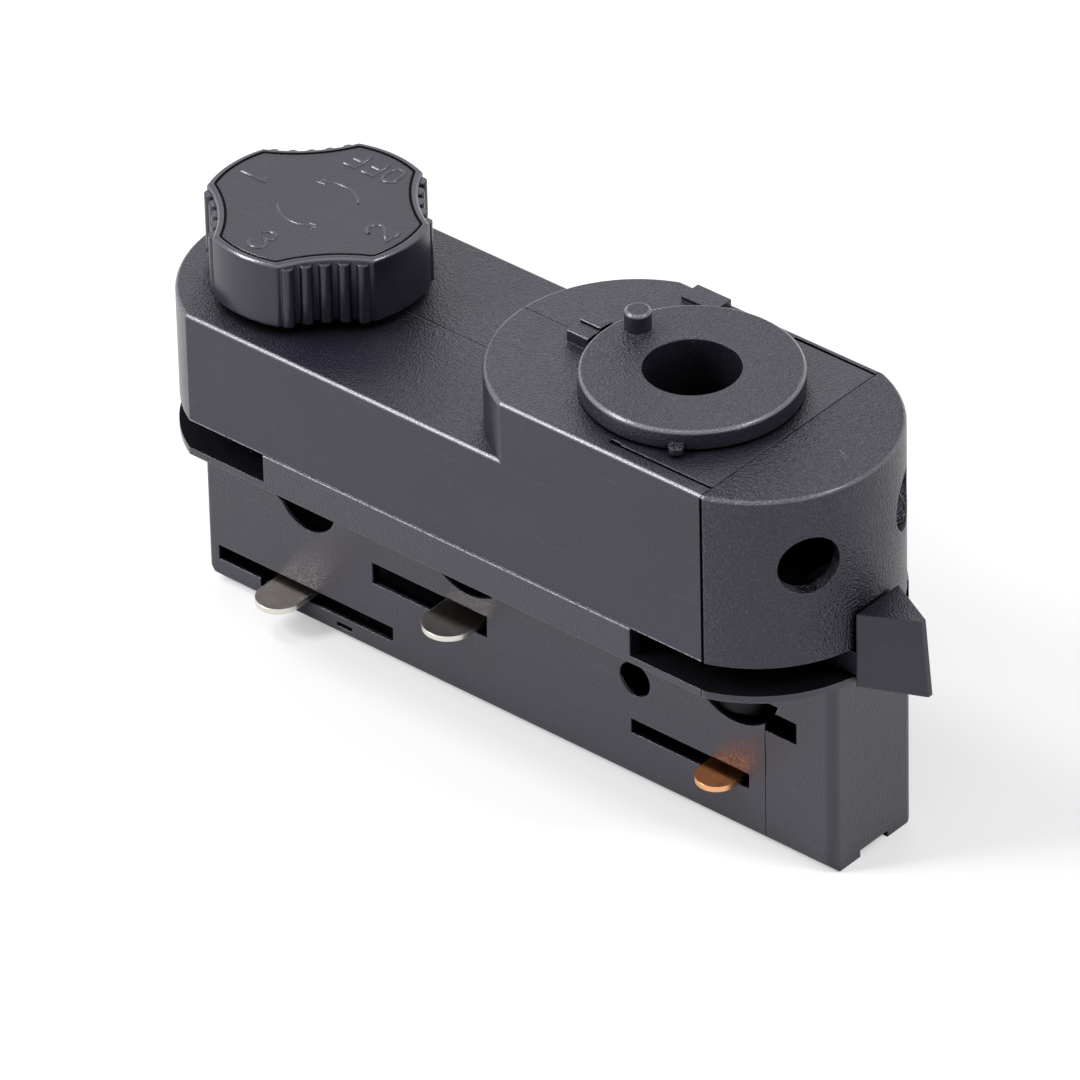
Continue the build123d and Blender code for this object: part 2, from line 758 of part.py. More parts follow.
with BuildPart() as terminal_screws:
    screw_top_z = carrier_top_z + terminal_height + terminal_screw_stand
    with BuildSketch(Plane.XY.offset(screw_top_z)):
        with Locations(*terminal_spots):
            Circle(terminal_screw_radius)
    extrude(amount=-terminal_screw_length)
    with BuildSketch(Plane.XY.offset(screw_top_z)):
        with Locations(*terminal_spots):
            Rectangle(3 * terminal_screw_radius, terminal_screw_radius / 2)
    extrude(amount=-terminal_screw_radius / 2, mode=Mode.SUBTRACT)


# Shaft with a pivot at the foot, a thick core up to the bearing plate and a thin neck above
def shaft(x, top_z, flat_from_z, winged):
    with BuildPart() as rotor:
        with BuildSketch(Plane.XY.offset(body_bottom_z + foot_groove_depth + running_gap)):
            with Locations((x, 0)):
                Circle(pivot_radius)
        extrude(amount=body_floor - foot_groove_depth + air_gap)
        with BuildSketch(Plane.XY.offset(cavity_floor_z + air_gap)):
            with Locations((x, 0)):
                Circle(core_radius)
        extrude(amount=plate_bottom_z - cavity_floor_z - 2 * air_gap)
        with BuildSketch(Plane.XY.offset(collar_bottom_z)):
            with Locations((x, 0)):
                Circle(collar_radius)
            if winged:
                with Locations((x, 0)):
                    Rectangle(wing_width, wing_reach, align=(Align.CENTER, Align.MIN))
        extrude(amount=collar_thickness)
        if winged:
            tip = rotor.faces().sort_by(Axis.Y)[-1].edges().filter_by(Axis.Z)
            fillet(tip, wing_width / 4)
        with BuildSketch(Plane.XY.offset(plate_bottom_z - air_gap)):
            with Locations((x, 0)):
                Circle(neck_radius)
        extrude(amount=flat_from_z - plate_bottom_z + air_gap)
        with BuildSketch(Plane.XY.offset(flat_from_z)):
            with Locations((x, 0)):
                add(flatted_circle())
        extrude(amount=top_z - flat_from_z)
    return rotor.part


# Flat stamped blade: a ring round the shaft and a tongue with a round tip, pointing to the front
def blade(x, z, reach, width):
    tip = width / 2
    with BuildPart() as stamping:
        with BuildSketch(Plane.XY.offset(z - blade_thickness / 2)):
            with Locations((x, 0)):
                Circle(blade_ring_radius)
                Rectangle(width, reach - tip, align=(Align.CENTER, Align.MAX))
            with Locations((x, tip - reach)):
                Circle(tip)
            with Locations((x, 0)):
                Circle(core_radius + running_gap / 2, mode=Mode.SUBTRACT)
        extrude(amount=blade_thickness)
    return stamping.part


knob_seat_z = knob_top_z - face_plate_thickness
shaft_top_z = knob_seat_z - knob_skin - face_plate_thickness

with BuildPart() as selector_shaft:
    add(shaft(knob_x, shaft_top_z, flange_top_z + air_gap, False))
    with BuildSketch(Plane.XY.offset(shaft_top_z)):
        with Locations((knob_x, 0)):
            Circle(screw_hole_radius)
    extrude(amount=-3 * screw_head_radius, mode=Mode.SUBTRACT)

with BuildPart() as lever_shaft:
    add(shaft(lever_x, lever_top_z, flange_top_z + running_gap, True))

with BuildPart() as neutral_rotor:
    add(shaft(neutral_x, lever_top_z, flange_top_z + running_gap, True))

with BuildPart() as phase_blade:
    add(blade(knob_x, phase_blade_z, phase_blade_reach, phase_blade_width))

with BuildPart() as neutral_blade:
    add(blade(neutral_x, neutral_blade_z, neutral_blade_reach, neutral_blade_width))

with BuildPart() as earth_blade:
    add(blade(lever_x, earth_blade_z, earth_blade_reach, earth_blade_width))

# Crank pins stand on the lever's hub and on the neutral crank, at the same angle
crank_dx = crank_radius * cos(radians(crank_angle))
crank_dy = crank_radius * sin(radians(crank_angle))
pin_bottom_z = lever_top_z - lever_thickness / 2
pin_length = link_top_z + air_gap - pin_bottom_z


# Hub that sits on a flatted shaft and holds a crank pin
def crank_hub(x):
    with BuildPart() as hub:
        with BuildSketch(Plane.XY.offset(lever_bottom_z)):
            with Locations((x, 0)):
                Circle(lever_hub_radius)
                add(flatted_circle(running_gap / 2), mode=Mode.SUBTRACT)
        extrude(amount=lever_thickness)
        with BuildSketch(Plane.XY.offset(pin_bottom_z)):
            with Locations((x + crank_dx, crank_dy)):
                Circle(crank_pin_radius + running_gap / 2)
        extrude(amount=lever_thickness, mode=Mode.SUBTRACT)
    return hub.part


with BuildPart() as neutral_crank:
    add(crank_hub(neutral_x))

# The lever: hub, flat arm under the rounded end, and a wedge-shaped handle outside it
with BuildPart() as locking_lever:
    handle_face_x = housing_right_x + handle_face_gap
    with BuildSketch(Plane.XY.offset(lever_bottom_z)):
        with Locations((lever_x, 0)):
            Rectangle(
                handle_face_x - lever_x + handle_face_gap,
                lever_arm_width,
                align=(Align.MIN, Align.CENTER),
            )
            Circle(lever_hub_radius, mode=Mode.SUBTRACT)
    extrude(amount=lever_thickness)
    add(crank_hub(lever_x))
    for height, reach in ((handle_bottom_z, handle_bottom_reach), (handle_top_z, handle_top_reach)):
        with BuildSketch(Plane.XY.offset(height)):
            with BuildLine():
                Polyline(
                    (handle_face_x, -handle_width / 2),
                    (reach, -handle_nose_width / 2),
                    (reach, handle_nose_width / 2),
                    (handle_face_x, handle_width / 2),
                    close=True,
                )
            make_face()
    loft()

with BuildPart() as lever_crank_pin:
    with BuildSketch(Plane.XY.offset(pin_bottom_z)):
        with Locations((lever_x + crank_dx, crank_dy)):
            Circle(crank_pin_radius)
    extrude(amount=pin_length)

with BuildPart() as neutral_crank_pin:
    with BuildSketch(Plane.XY.offset(pin_bottom_z)):
        with Locations((neutral_x + crank_dx, crank_dy)):
            Circle(crank_pin_radius)
    extrude(amount=pin_length)

with BuildPart() as link_bar:
    with BuildSketch(Plane.XY.offset(link_bottom_z)):
        with Locations(((lever_x + neutral_x) / 2 + crank_dx, crank_dy)):
            SlotCenterToCenter(lever_x - neutral_x, link_width)
        with Locations((lever_x + crank_dx, crank_dy)):
            Circle(crank_pin_radius + running_gap, mode=Mode.SUBTRACT)
        with Locations((neutral_x + crank_dx, crank_dy)):
            Circle(crank_pin_radius + open_pivot_gap, mode=Mode.SUBTRACT)
    extrude(amount=link_thickness)

# Knob: lobed body with ribs in its scallops, hollow below round a stub that turns in the deck
knob_outline, scallop_distance, scallop_radius = knob_plan()

with BuildPart() as selector_knob:
    with BuildSketch(Plane.XY.offset(knob_bottom_z)):
        with Locations((knob_x, 0)):
            add(knob_outline)
        for corner in range(4):
            out = scallop_angle + 90 * corner
            centre = Vector(knob_x, 0) + Vector(scallop_distance, 0).rotate(Axis.Z, out)
            for i in range(knob_rib_count):
                swing = degrees(knob_rib_pitch / scallop_radius) * (i - (knob_rib_count - 1) / 2)
                spot = centre + Vector(-scallop_radius, 0).rotate(Axis.Z, out + swing)
                with Locations((spot.X, spot.Y)):
                    Circle(knob_rib_radius)
    extrude(amount=knob_top_z - knob_bottom_z - 1.2 * knob_edge_radius)
    with BuildSketch(Plane.XY.offset(knob_top_z - 1.2 * knob_edge_radius)):
        with Locations((knob_x, 0)):
            add(knob_outline)
    extrude(amount=1.2 * knob_edge_radius)
    fillet(selector_knob.faces().sort_by(Axis.Z)[-1].edges(), knob_edge_radius)
    with BuildSketch(Plane.XY.offset(knob_bottom_z)):
        with Locations((knob_x, 0)):
            Circle(knob_radius - scallop_depth - shell_wall)
            Circle(knob_stub_radius + running_gap, mode=Mode.SUBTRACT)
    extrude(amount=knob_top_z - knob_bottom_z - face_plate_thickness - knob_skin, mode=Mode.SUBTRACT)
    with BuildSketch(Plane.XY.offset(knob_stub_end_z)):
        with Locations((knob_x, 0)):
            Circle(knob_stub_radius)
    extrude(amount=knob_top_z - knob_stub_end_z - face_plate_thickness)
    with BuildSketch(Plane.XY.offset(knob_stub_end_z + ring_thickness)):
        with Locations((knob_x, 0)):
            Circle(knob_stub_radius + ring_depth)
            Circle(knob_stub_radius - ring_depth, mode=Mode.SUBTRACT)
    extrude(amount=ring_thickness + running_gap, mode=Mode.SUBTRACT)
    with BuildSketch(Plane.XY.offset(knob_stub_end_z)):
        with Locations((knob_x, 0)):
            add(flatted_circle(running_gap / 2))
    extrude(amount=shaft_top_z + running_gap - knob_stub_end_z, mode=Mode.SUBTRACT)
    with BuildSketch(Plane.XY.offset(knob_top_z)):
        with Locations((knob_x, 0)):
            add(knob_plan(face_plate_margin)[0])
    extrude(amount=-face_plate_thickness, mode=Mode.SUBTRACT)
    with BuildSketch(Plane.XY.offset(knob_seat_z)):
        with Locations((knob_x, 0)):
            Circle(screw_head_radius + air_gap)
    extrude(amount=-screw_head_height, mode=Mode.SUBTRACT)
    with BuildSketch(Plane.XY.offset(knob_seat_z)):
        with Locations((knob_x, 0)):
            Circle(screw_hole_radius)
    extrude(amount=shaft_top_z - knob_seat_z, mode=Mode.SUBTRACT)

with BuildPart() as knob_face_plate:
    with BuildSketch(Plane.XY.offset(knob_seat_z)):
        with Locations((knob_x, 0)):
            add(knob_plan(face_plate_margin + air_gap / 2)[0])
    extrude(amount=face_plate_thickness)
    chamfer(knob_face_plate.faces().sort_by(Axis.Z)[-1].edges(), running_gap)


# Pan-head screw standing on the underside of its head, point along the given direction
def pan_screw(length):
    with BuildPart() as screw:
        Cylinder(screw_radius, length, align=(Align.CENTER, Align.CENTER, Align.MAX))
        Cylinder(
            screw_head_radius, screw_head_height - air_gap, align=(Align.CENTER, Align.CENTER, Align.MIN)
        )
        chamfer(screw.faces().sort_by(Axis.Z)[-1].edges(), screw_head_height / 4)
        with BuildSketch(Plane.XY.offset(screw_head_height - air_gap)):
            Rectangle(screw_head_radius, screw_head_radius / 4)
            Rectangle(screw_head_radius / 4, screw_head_radius)
        extrude(amount=-screw_head_height / 3, mode=Mode.SUBTRACT)
    return screw.part


with BuildPart() as knob_screw:
    with Locations((knob_x, 0, knob_seat_z - screw_head_height)):
        add(pan_screw(2 * screw_head_radius + knob_skin))

with BuildPart() as base_screws:
    for x in base_screw_x:
        with Locations(
            Location((x, base_screw_y, flange_bottom_z + screw_head_height), (180, 0, 0)),
            Location((x, -base_screw_y, flange_bottom_z + screw_head_height), (180, 0, 0)),
        ):
            add(pan_screw(carrier_bottom_z - flange_bottom_z - screw_head_height - air_gap))

with BuildPart() as end_screw:
    with Locations(Location((end_screw_x, end_screw_y, flange_bottom_z + screw_head_height), (180, 0, 0))):
        add(pan_screw(housing_bottom_z - flange_bottom_z + end_boss_radius))

with BuildPart() as cross_screws:
    with Locations(
        *[
            Location((x, half_width - screw_head_height, cross_screw_z), (-90, 0, 0))
            for x in cross_screw_x
        ]
    ):
        add(pan_screw(housing_width - 4 * shell_wall - cross_boss_radius))


# Open spring ring that snaps into a groove round a stub or a stem
def snap_ring(x, stub_radius, ring_width, bottom_z):
    with BuildPart() as ring:
        with BuildSketch(Plane.XY.offset(bottom_z)):
            with Locations((x, 0)):
                Circle(stub_radius - ring_depth + ring_width)
                Circle(stub_radius - ring_depth + running_gap / 2, mode=Mode.SUBTRACT)
                Rectangle(
                    2 * stub_radius, 2 * ring_depth, align=(Align.MIN, Align.CENTER), mode=Mode.SUBTRACT
                )
        extrude(amount=ring_thickness)
    return ring.part


with BuildPart() as knob_clip:
    add(snap_ring(knob_x, knob_stub_radius, 1.5 * ring_depth, knob_stub_end_z + ring_thickness))

# Four-notch wheel on the selector shaft, and the leaf whose bump rests in a notch
with BuildPart() as detent_wheel:
    with BuildSketch(Plane.XY.offset(detent_top_z - detent_thickness)):
        with Locations((knob_x, 0)):
            Circle(detent_radius)
            add(flatted_circle(running_gap / 2), mode=Mode.SUBTRACT)
            with PolarLocations(detent_radius + detent_notch_radius - detent_notch_depth, 4):
                Circle(detent_notch_radius, mode=Mode.SUBTRACT)
    extrude(amount=detent_thickness)

with BuildPart() as detent_spring:
    leaf_x = knob_x - detent_radius - air_gap - contact_thickness
    with BuildSketch(Plane.XY.offset(detent_top_z - detent_thickness)):
        with Locations((leaf_x, 0)):
            Rectangle(contact_thickness, 2 * detent_radius, align=(Align.MAX, Align.CENTER))
        with Locations((leaf_x, 0)):
            Circle(contact_thickness)
    extrude(amount=detent_thickness)

# Swivel disc with its hollow stem, locating peg and stop nub
with BuildPart() as swivel_disc:
    with BuildSketch(Plane.XY.offset(-disc_thickness)):
        Circle(disc_radius)
    extrude(amount=disc_thickness)
    fillet(swivel_disc.faces().sort_by(Axis.Z)[-1].edges(), top_edge_radius)
    nub_centre = Vector(stop_nub_reach - stop_nub_radius, 0).rotate(Axis.Z, stop_nub_angle)
    with BuildSketch(Plane.XY.offset(-disc_thickness)):
        with Locations((nub_centre.X, nub_centre.Y)):
            Circle(stop_nub_radius)
    extrude(amount=disc_thickness / 3)
    with BuildSketch(Plane.XY.offset(stem_bottom_z)):
        Circle(stem_radius)
    extrude(amount=-disc_thickness - stem_bottom_z)
    ring_top_z = stem_boss_bottom_z - air_gap
    with BuildSketch(Plane.XY.offset(ring_top_z - ring_thickness - running_gap)):
        Circle(stem_radius + ring_depth)
        Circle(stem_radius - ring_depth, mode=Mode.SUBTRACT)
    extrude(amount=ring_thickness + 2 * running_gap, mode=Mode.SUBTRACT)
    with BuildSketch():
        with PolarLocations(peg_distance, 1, start_angle=peg_angle):
            Circle(peg_radius)
    extrude(amount=peg_height)
    fillet(swivel_disc.faces().sort_by(Axis.Z)[-1].edges(), top_edge_radius)
    with BuildSketch(Plane.XY.offset(stem_bottom_z)):
        Circle(bore_radius)
    extrude(amount=-stem_bottom_z, mode=Mode.SUBTRACT)

with BuildPart() as retaining_ring:
    add(snap_ring(0, stem_radius, 3 * ring_depth, ring_top_z - ring_thickness))

with BuildPart() as friction_washer:
    with BuildSketch(Plane.XY.offset(raised_deck_z + running_gap / 2)):
        Circle(disc_radius - shell_wall)
        Circle(stem_radius + air_gap, mode=Mode.SUBTRACT)
    extrude(amount=-disc_thickness - raised_deck_z - running_gap)

pieces = {
    "front_shell": front_shell,
    "rear_shell": rear_shell,
    "end_housing": end_housing,
    "track_body": track_body,
    "track_body_end": track_body_end,
    "bearing_plate": bearing_plate,
    "terminal_carrier": terminal_carrier,
    "terminal_blocks": terminal_blocks,
    "terminal_screws": terminal_screws,
    "phase_contact": phase_contact,
    "neutral_contact": neutral_contact,
    "earth_contact": earth_contact,
    "detent_spring": detent_spring,
    "base_screws": base_screws,
    "cross_screws": cross_screws,
    "end_screw": end_screw,
    "selector_knob": selector_knob,
    "knob_face_plate": knob_face_plate,
    "knob_screw": knob_screw,
    "knob_clip": knob_clip,
    "selector_shaft": selector_shaft,
    "detent_wheel": detent_wheel,
    "phase_blade": phase_blade,
    "locking_lever": locking_lever,
    "lever_shaft": lever_shaft,
    "lever_crank_pin": lever_crank_pin,
    "earth_blade": earth_blade,
    "neutral_rotor": neutral_rotor,
    "neutral_crank": neutral_crank,
    "neutral_crank_pin": neutral_crank_pin,
    "neutral_blade": neutral_blade,
    "link_bar": link_bar,
    "swivel_disc": swivel_disc,
    "retaining_ring": retaining_ring,
    "friction_washer": friction_washer,
}
for name, piece in pieces.items():
    piece.part.label = name
    export_step(piece.part, f"parts/{name}.step")
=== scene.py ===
import bpy
from math import cos, radians, sin
from mathutils import Matrix, Vector


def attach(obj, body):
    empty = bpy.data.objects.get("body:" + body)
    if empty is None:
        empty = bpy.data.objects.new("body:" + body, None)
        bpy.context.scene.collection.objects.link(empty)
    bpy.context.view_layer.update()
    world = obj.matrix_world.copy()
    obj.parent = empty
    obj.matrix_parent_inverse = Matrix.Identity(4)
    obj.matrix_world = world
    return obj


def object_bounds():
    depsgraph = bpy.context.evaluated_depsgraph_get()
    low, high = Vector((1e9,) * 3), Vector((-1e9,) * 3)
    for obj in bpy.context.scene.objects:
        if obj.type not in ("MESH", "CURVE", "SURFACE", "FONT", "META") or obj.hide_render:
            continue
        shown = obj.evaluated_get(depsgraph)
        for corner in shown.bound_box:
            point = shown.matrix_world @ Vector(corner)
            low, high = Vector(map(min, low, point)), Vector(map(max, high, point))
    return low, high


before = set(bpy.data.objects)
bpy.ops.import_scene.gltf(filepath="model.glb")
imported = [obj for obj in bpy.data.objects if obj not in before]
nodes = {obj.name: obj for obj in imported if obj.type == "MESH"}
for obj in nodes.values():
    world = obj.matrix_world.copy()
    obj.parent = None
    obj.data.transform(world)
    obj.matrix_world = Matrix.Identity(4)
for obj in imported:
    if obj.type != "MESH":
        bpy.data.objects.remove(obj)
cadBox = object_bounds()
scene = bpy.context.scene
print("scene: frame loaded,", len(nodes), "nodes")


# Small helpers for working in object and edit mode
def clearSelection():
    if bpy.context.mode != "OBJECT":
        bpy.ops.object.mode_set(mode="OBJECT")
    bpy.ops.object.select_all(action="DESELECT")


def pick(*objects):
    clearSelection()
    for item in objects:
        item.select_set(True)
    bpy.context.view_layer.objects.active = objects[0]


def applyPlace(item):
    pick(item)
    bpy.ops.object.transform_apply(location=True, rotation=True, scale=True)


def heading(degrees):
    return Vector((cos(radians(degrees)), sin(radians(degrees))))


# Small helpers for building node trees
def newMaterial(name):
    material = bpy.data.materials.new(name)
    material.use_nodes = True
    tree = material.node_tree
    return material, tree, tree.nodes["Principled BSDF"]


def newGroup(name, inputs, outputs):
    group = bpy.data.node_groups.new(name, "ShaderNodeTree")
    for label, value in inputs.items():
        socket = group.interface.new_socket(name=label, in_out="INPUT", socket_type="NodeSocketFloat")
        socket.default_value = value
    for label, kind in outputs.items():
        group.interface.new_socket(name=label, in_out="OUTPUT", socket_type=kind)
    return group, group.nodes.new("NodeGroupInput").outputs, group.nodes.new("NodeGroupOutput").inputs


def addNode(tree, kind, **settings):
    node = tree.nodes.new(kind)
    for key, value in settings.items():
        setattr(node, key, value)
    return node


# An output is linked to the socket, a number or a colour is set on it
def fill(tree, socket, value):
    if isinstance(value, bpy.types.NodeSocket):
        tree.links.new(value, socket)
    else:
        socket.default_value = value


def useGroup(tree, group, values):
    node = addNode(tree, "ShaderNodeGroup", node_tree=group)
    for label, value in values.items():
        fill(tree, node.inputs[label], value)
    return node.outputs


def mathNode(tree, operation, first, second=None, clamp=False):
    node = addNode(tree, "ShaderNodeMath", operation=operation, use_clamp=clamp)
    fill(tree, node.inputs[0], first)
    if second is not None:
        fill(tree, node.inputs[1], second)
    return node.outputs[0]


def distanceFrom(tree, value, level):
    return mathNode(tree, "ABSOLUTE", mathNode(tree, "SUBTRACT", value, level))


# The part of value that lies in span, spread from low to high and held there outside it
def mapValue(tree, value, span, low=0, high=1, kind="LINEAR"):
    node = addNode(tree, "ShaderNodeMapRange", interpolation_type=kind)
    tree.links.new(value, node.inputs["Value"])
    for label, number in (("From Min", span[0]), ("From Max", span[1]), ("To Min", low), ("To Max", high)):
        node.inputs[label].default_value = number
    return node.outputs["Result"]


mixColourSockets = {"first": 6, "second": 7, "result": 2}  # Mix has one set of sockets for each kind of data


def blendColour(tree, factor, first, second):
    node = addNode(tree, "ShaderNodeMix", data_type="RGBA", blend_type="MIX")
    tree.links.new(factor, node.inputs["Factor"])
    fill(tree, node.inputs[mixColourSockets["first"]], first)
    fill(tree, node.inputs[mixColourSockets["second"]], second)
    return node.outputs[mixColourSockets["result"]]


def splitVector(tree, vector):
    node = addNode(tree, "ShaderNodeSeparateXYZ")
    tree.links.new(vector, node.inputs["Vector"])
    return node.outputs


def noise(tree, vector, scale, detail=2.0, roughness=0.5):
    node = addNode(tree, "ShaderNodeTexNoise", noise_dimensions="3D")
    tree.links.new(vector, node.inputs["Vector"])
    fill(tree, node.inputs["Scale"], scale)
    node.inputs["Detail"].default_value = detail
    node.inputs["Roughness"].default_value = roughness
    return node.outputs["Fac"]


sparkGrainSettings = {
    "fineDetail": 2.0,
    "fineRoughness": 0.7,
    "pitSmoothness": 0.3,
    "slowScale": 90.0,
    "speckSpan": (0.62, 0.8),
    "brokenSpan": (0.35, 0.55),
}


# Fine pitted skin that spark-eroded moulds leave on plastic
def makeSparkGrain(settings):
    group, start, end = newGroup(
        "sparkGrain",
        {"Grain Size": 0.0005, "Unevenness": 0.3},
        {"Height": "NodeSocketFloat", "Speck": "NodeSocketFloat", "Broken": "NodeSocketFloat"},
    )
    place = addNode(group, "ShaderNodeTexCoord").outputs["Object"]
    density = mathNode(group, "DIVIDE", 1.0, start["Grain Size"])
    fine = noise(group, place, density, settings["fineDetail"], settings["fineRoughness"])
    pits = addNode(group, "ShaderNodeTexVoronoi", feature="SMOOTH_F1")
    pits.inputs["Smoothness"].default_value = settings["pitSmoothness"]
    group.links.new(place, pits.inputs["Vector"])
    group.links.new(density, pits.inputs["Scale"])
    mixed = mathNode(group, "ADD", fine, pits.outputs["Distance"])
    uneven = mathNode(group, "MULTIPLY", noise(group, place, settings["slowScale"]), start["Unevenness"])
    group.links.new(mathNode(group, "ADD", mixed, uneven), end["Height"])
    group.links.new(mapValue(group, fine, settings["speckSpan"]), end["Speck"])
    group.links.new(mapValue(group, fine, settings["brokenSpan"]), end["Broken"])
    return group


edgeCatchSettings = {"samples": 6, "turnSpan": (0.995, 0.86), "bumpDistance": 0.00014}


# Rounded-over edges: a softened normal, and a mask that is 1 on the edge itself
def makeEdgeCatch(settings):
    group, start, end = newGroup(
        "edgeCatch",
        {"Radius": 0.0003, "Height": 0.0, "Bump": 0.1},
        {"Normal": "NodeSocketVector", "Edge": "NodeSocketFloat"},
    )
    rounding = addNode(group, "ShaderNodeBevel", samples=settings["samples"])
    group.links.new(start["Radius"], rounding.inputs["Radius"])
    face = addNode(group, "ShaderNodeNewGeometry")
    turned = addNode(group, "ShaderNodeVectorMath", operation="DOT_PRODUCT")
    group.links.new(rounding.outputs["Normal"], turned.inputs[0])
    group.links.new(face.outputs["Normal"], turned.inputs[1])
    bump = addNode(group, "ShaderNodeBump")
    bump.inputs["Distance"].default_value = settings["bumpDistance"]
    group.links.new(start["Bump"], bump.inputs["Strength"])
    group.links.new(start["Height"], bump.inputs["Height"])
    group.links.new(rounding.outputs["Normal"], bump.inputs["Normal"])
    group.links.new(bump.outputs["Normal"], end["Normal"])
    group.links.new(mapValue(group, turned.outputs["Value"], settings["turnSpan"]), end["Edge"])
    return group


handlingSettings = {
    "cloudDetail": 4.0,
    "scuffTurn": (0.4, 0.3, 0.6),
    "scuffDensity": (60.0, 900.0, 700.0),
    "scuffSpan": (0.66, 0.74),
}


# Slow changes of tone, and faint scuffs
def makeHandling(settings):
    group, start, end = newGroup(
        "handling",
        {"Cloud Size": 0.02, "Scuffs": 0.2},
        {"Tone": "NodeSocketFloat", "Scuff": "NodeSocketFloat"},
    )
    place = addNode(group, "ShaderNodeTexCoord").outputs["Object"]
    density = mathNode(group, "DIVIDE", 1.0, start["Cloud Size"])
    group.links.new(noise(group, place, density, settings["cloudDetail"]), end["Tone"])
    stretch = addNode(group, "ShaderNodeMapping")
    stretch.inputs["Rotation"].default_value = settings["scuffTurn"]
    stretch.inputs["Scale"].default_value = settings["scuffDensity"]
    group.links.new(place, stretch.inputs["Vector"])
    scuff = mapValue(group, noise(group, stretch.outputs["Vector"], 1.0), settings["scuffSpan"])
    group.links.new(mathNode(group, "MULTIPLY", scuff, start["Scuffs"]), end["Scuff"])
    return group


deepShadeSettings = {"samples": 12, "spans": {"Reach": (0.2, 0.6), "Seam": (0.3, 0.62)}}


# Painted shade in gaps: 1 in the open, 0 deep inside slots and bores and within narrow seams and grooves
def makeDeepShade(settings):
    group, start, end = newGroup(
        "deepShade", {"Reach": 0.012, "Seam": 0.0006}, {"Open": "NodeSocketFloat"}
    )
    opened = []
    for source, span in settings["spans"].items():
        inShade = addNode(
            group, "ShaderNodeAmbientOcclusion", samples=settings["samples"], only_local=False
        )
        group.links.new(start[source], inShade.inputs["Distance"])
        opened.append(mapValue(group, inShade.outputs["AO"], span, kind="SMOOTHSTEP"))
    group.links.new(mathNode(group, "MULTIPLY", *opened), end["Open"])
    return group


rollMarksSettings = {"stainDensity": 420.0, "stainDetail": 5.0}


# Streaks that rolling and stamping leave on sheet metal
def makeRollMarks(settings):
    group, start, end = newGroup(
        "rollMarks",
        {"Length": 0.01, "Width": 0.00025},
        {"Streak": "NodeSocketFloat", "Stain": "NodeSocketFloat"},
    )
    place = addNode(group, "ShaderNodeTexCoord").outputs["Object"]
    parts = splitVector(group, place)
    joined = addNode(group, "ShaderNodeCombineXYZ")
    for axis, measure in (("X", "Width"), ("Y", "Length"), ("Z", "Width")):
        group.links.new(mathNode(group, "DIVIDE", parts[axis], start[measure]), joined.inputs[axis])
    group.links.new(noise(group, joined.outputs["Vector"], 1.0), end["Streak"])
    stains = noise(group, place, settings["stainDensity"], settings["stainDetail"])
    group.links.new(stains, end["Stain"])
    return group


sparkGrain = makeSparkGrain(sparkGrainSettings)
edgeCatch = makeEdgeCatch(edgeCatchSettings)
handling = makeHandling(handlingSettings)
rollMarks = makeRollMarks(rollMarksSettings)
deepShade = makeDeepShade(deepShadeSettings)
print("scene: shader groups made")


# Spans of the normal's Z tell fillets from walls and decks, widths are distances in metres
skinMasks = {
    "filletRise": (0.12, 0.4),
    "filletEnd": (0.9, 0.98),
    "deckFacing": (0.5, 0.9),
    "wallFacing": (0.1, 0.4),
    "toneSpan": (0.3, 0.7),
    "ledgeWidth": (0.00008, 0.00024),
    "levelWidth": (0.0001, 0.0003),
    "levelOpen": 0.12,
    "seamWidth": (0.0002, 0.00026),
    "unevenness": 0.3,
    "cloudSize": 0.018,
    "roughnessSpread": 0.04,
}


# 1 outside the box given by its two corners, 0 inside it
def outsideBox(tree, place, box):
    low, high = box
    outside = 0.0
    for axis, near, far in zip("XYZ", low, high):
        before = mathNode(tree, "LESS_THAN", place[axis], near)
        after = mathNode(tree, "GREATER_THAN", place[axis], far)
        outside = mathNode(tree, "MAXIMUM", outside, mathNode(tree, "MAXIMUM", before, after))
    return outside


# Painted shade mask: 1 on the open skin, 0 where a moulding is painted as shaded: in gaps, inside its walls,
# on covered levels; 0 also at a seam, for its dark joint
def unshadedSkin(tree, look, place, facing, notLevel):
    opened = useGroup(tree, deepShade, {"Reach": look["gapReach"], "Seam": look["seamReach"]})["Open"]
    if "shadedInside" in look:
        opened = mathNode(tree, "MINIMUM", opened, outsideBox(tree, place, look["shadedInside"]))
    for height in look.get("shadedLevels", ()):
        offset = distanceFrom(tree, place["Z"], height)
        away = mapValue(tree, offset, skinMasks["levelWidth"], skinMasks["levelOpen"], 1)
        opened = mathNode(tree, "MINIMUM", opened, mathNode(tree, "MAXIMUM", notLevel, away))
    if "seamLine" in look:
        away = mapValue(tree, distanceFrom(tree, place["X"], look["seamLine"]), skinMasks["seamWidth"])
        notWall = mapValue(tree, mathNode(tree, "ABSOLUTE", facing["Z"]), skinMasks["wallFacing"])
        opened = mathNode(tree, "MINIMUM", opened, mathNode(tree, "ADD", away, notWall))
    return opened


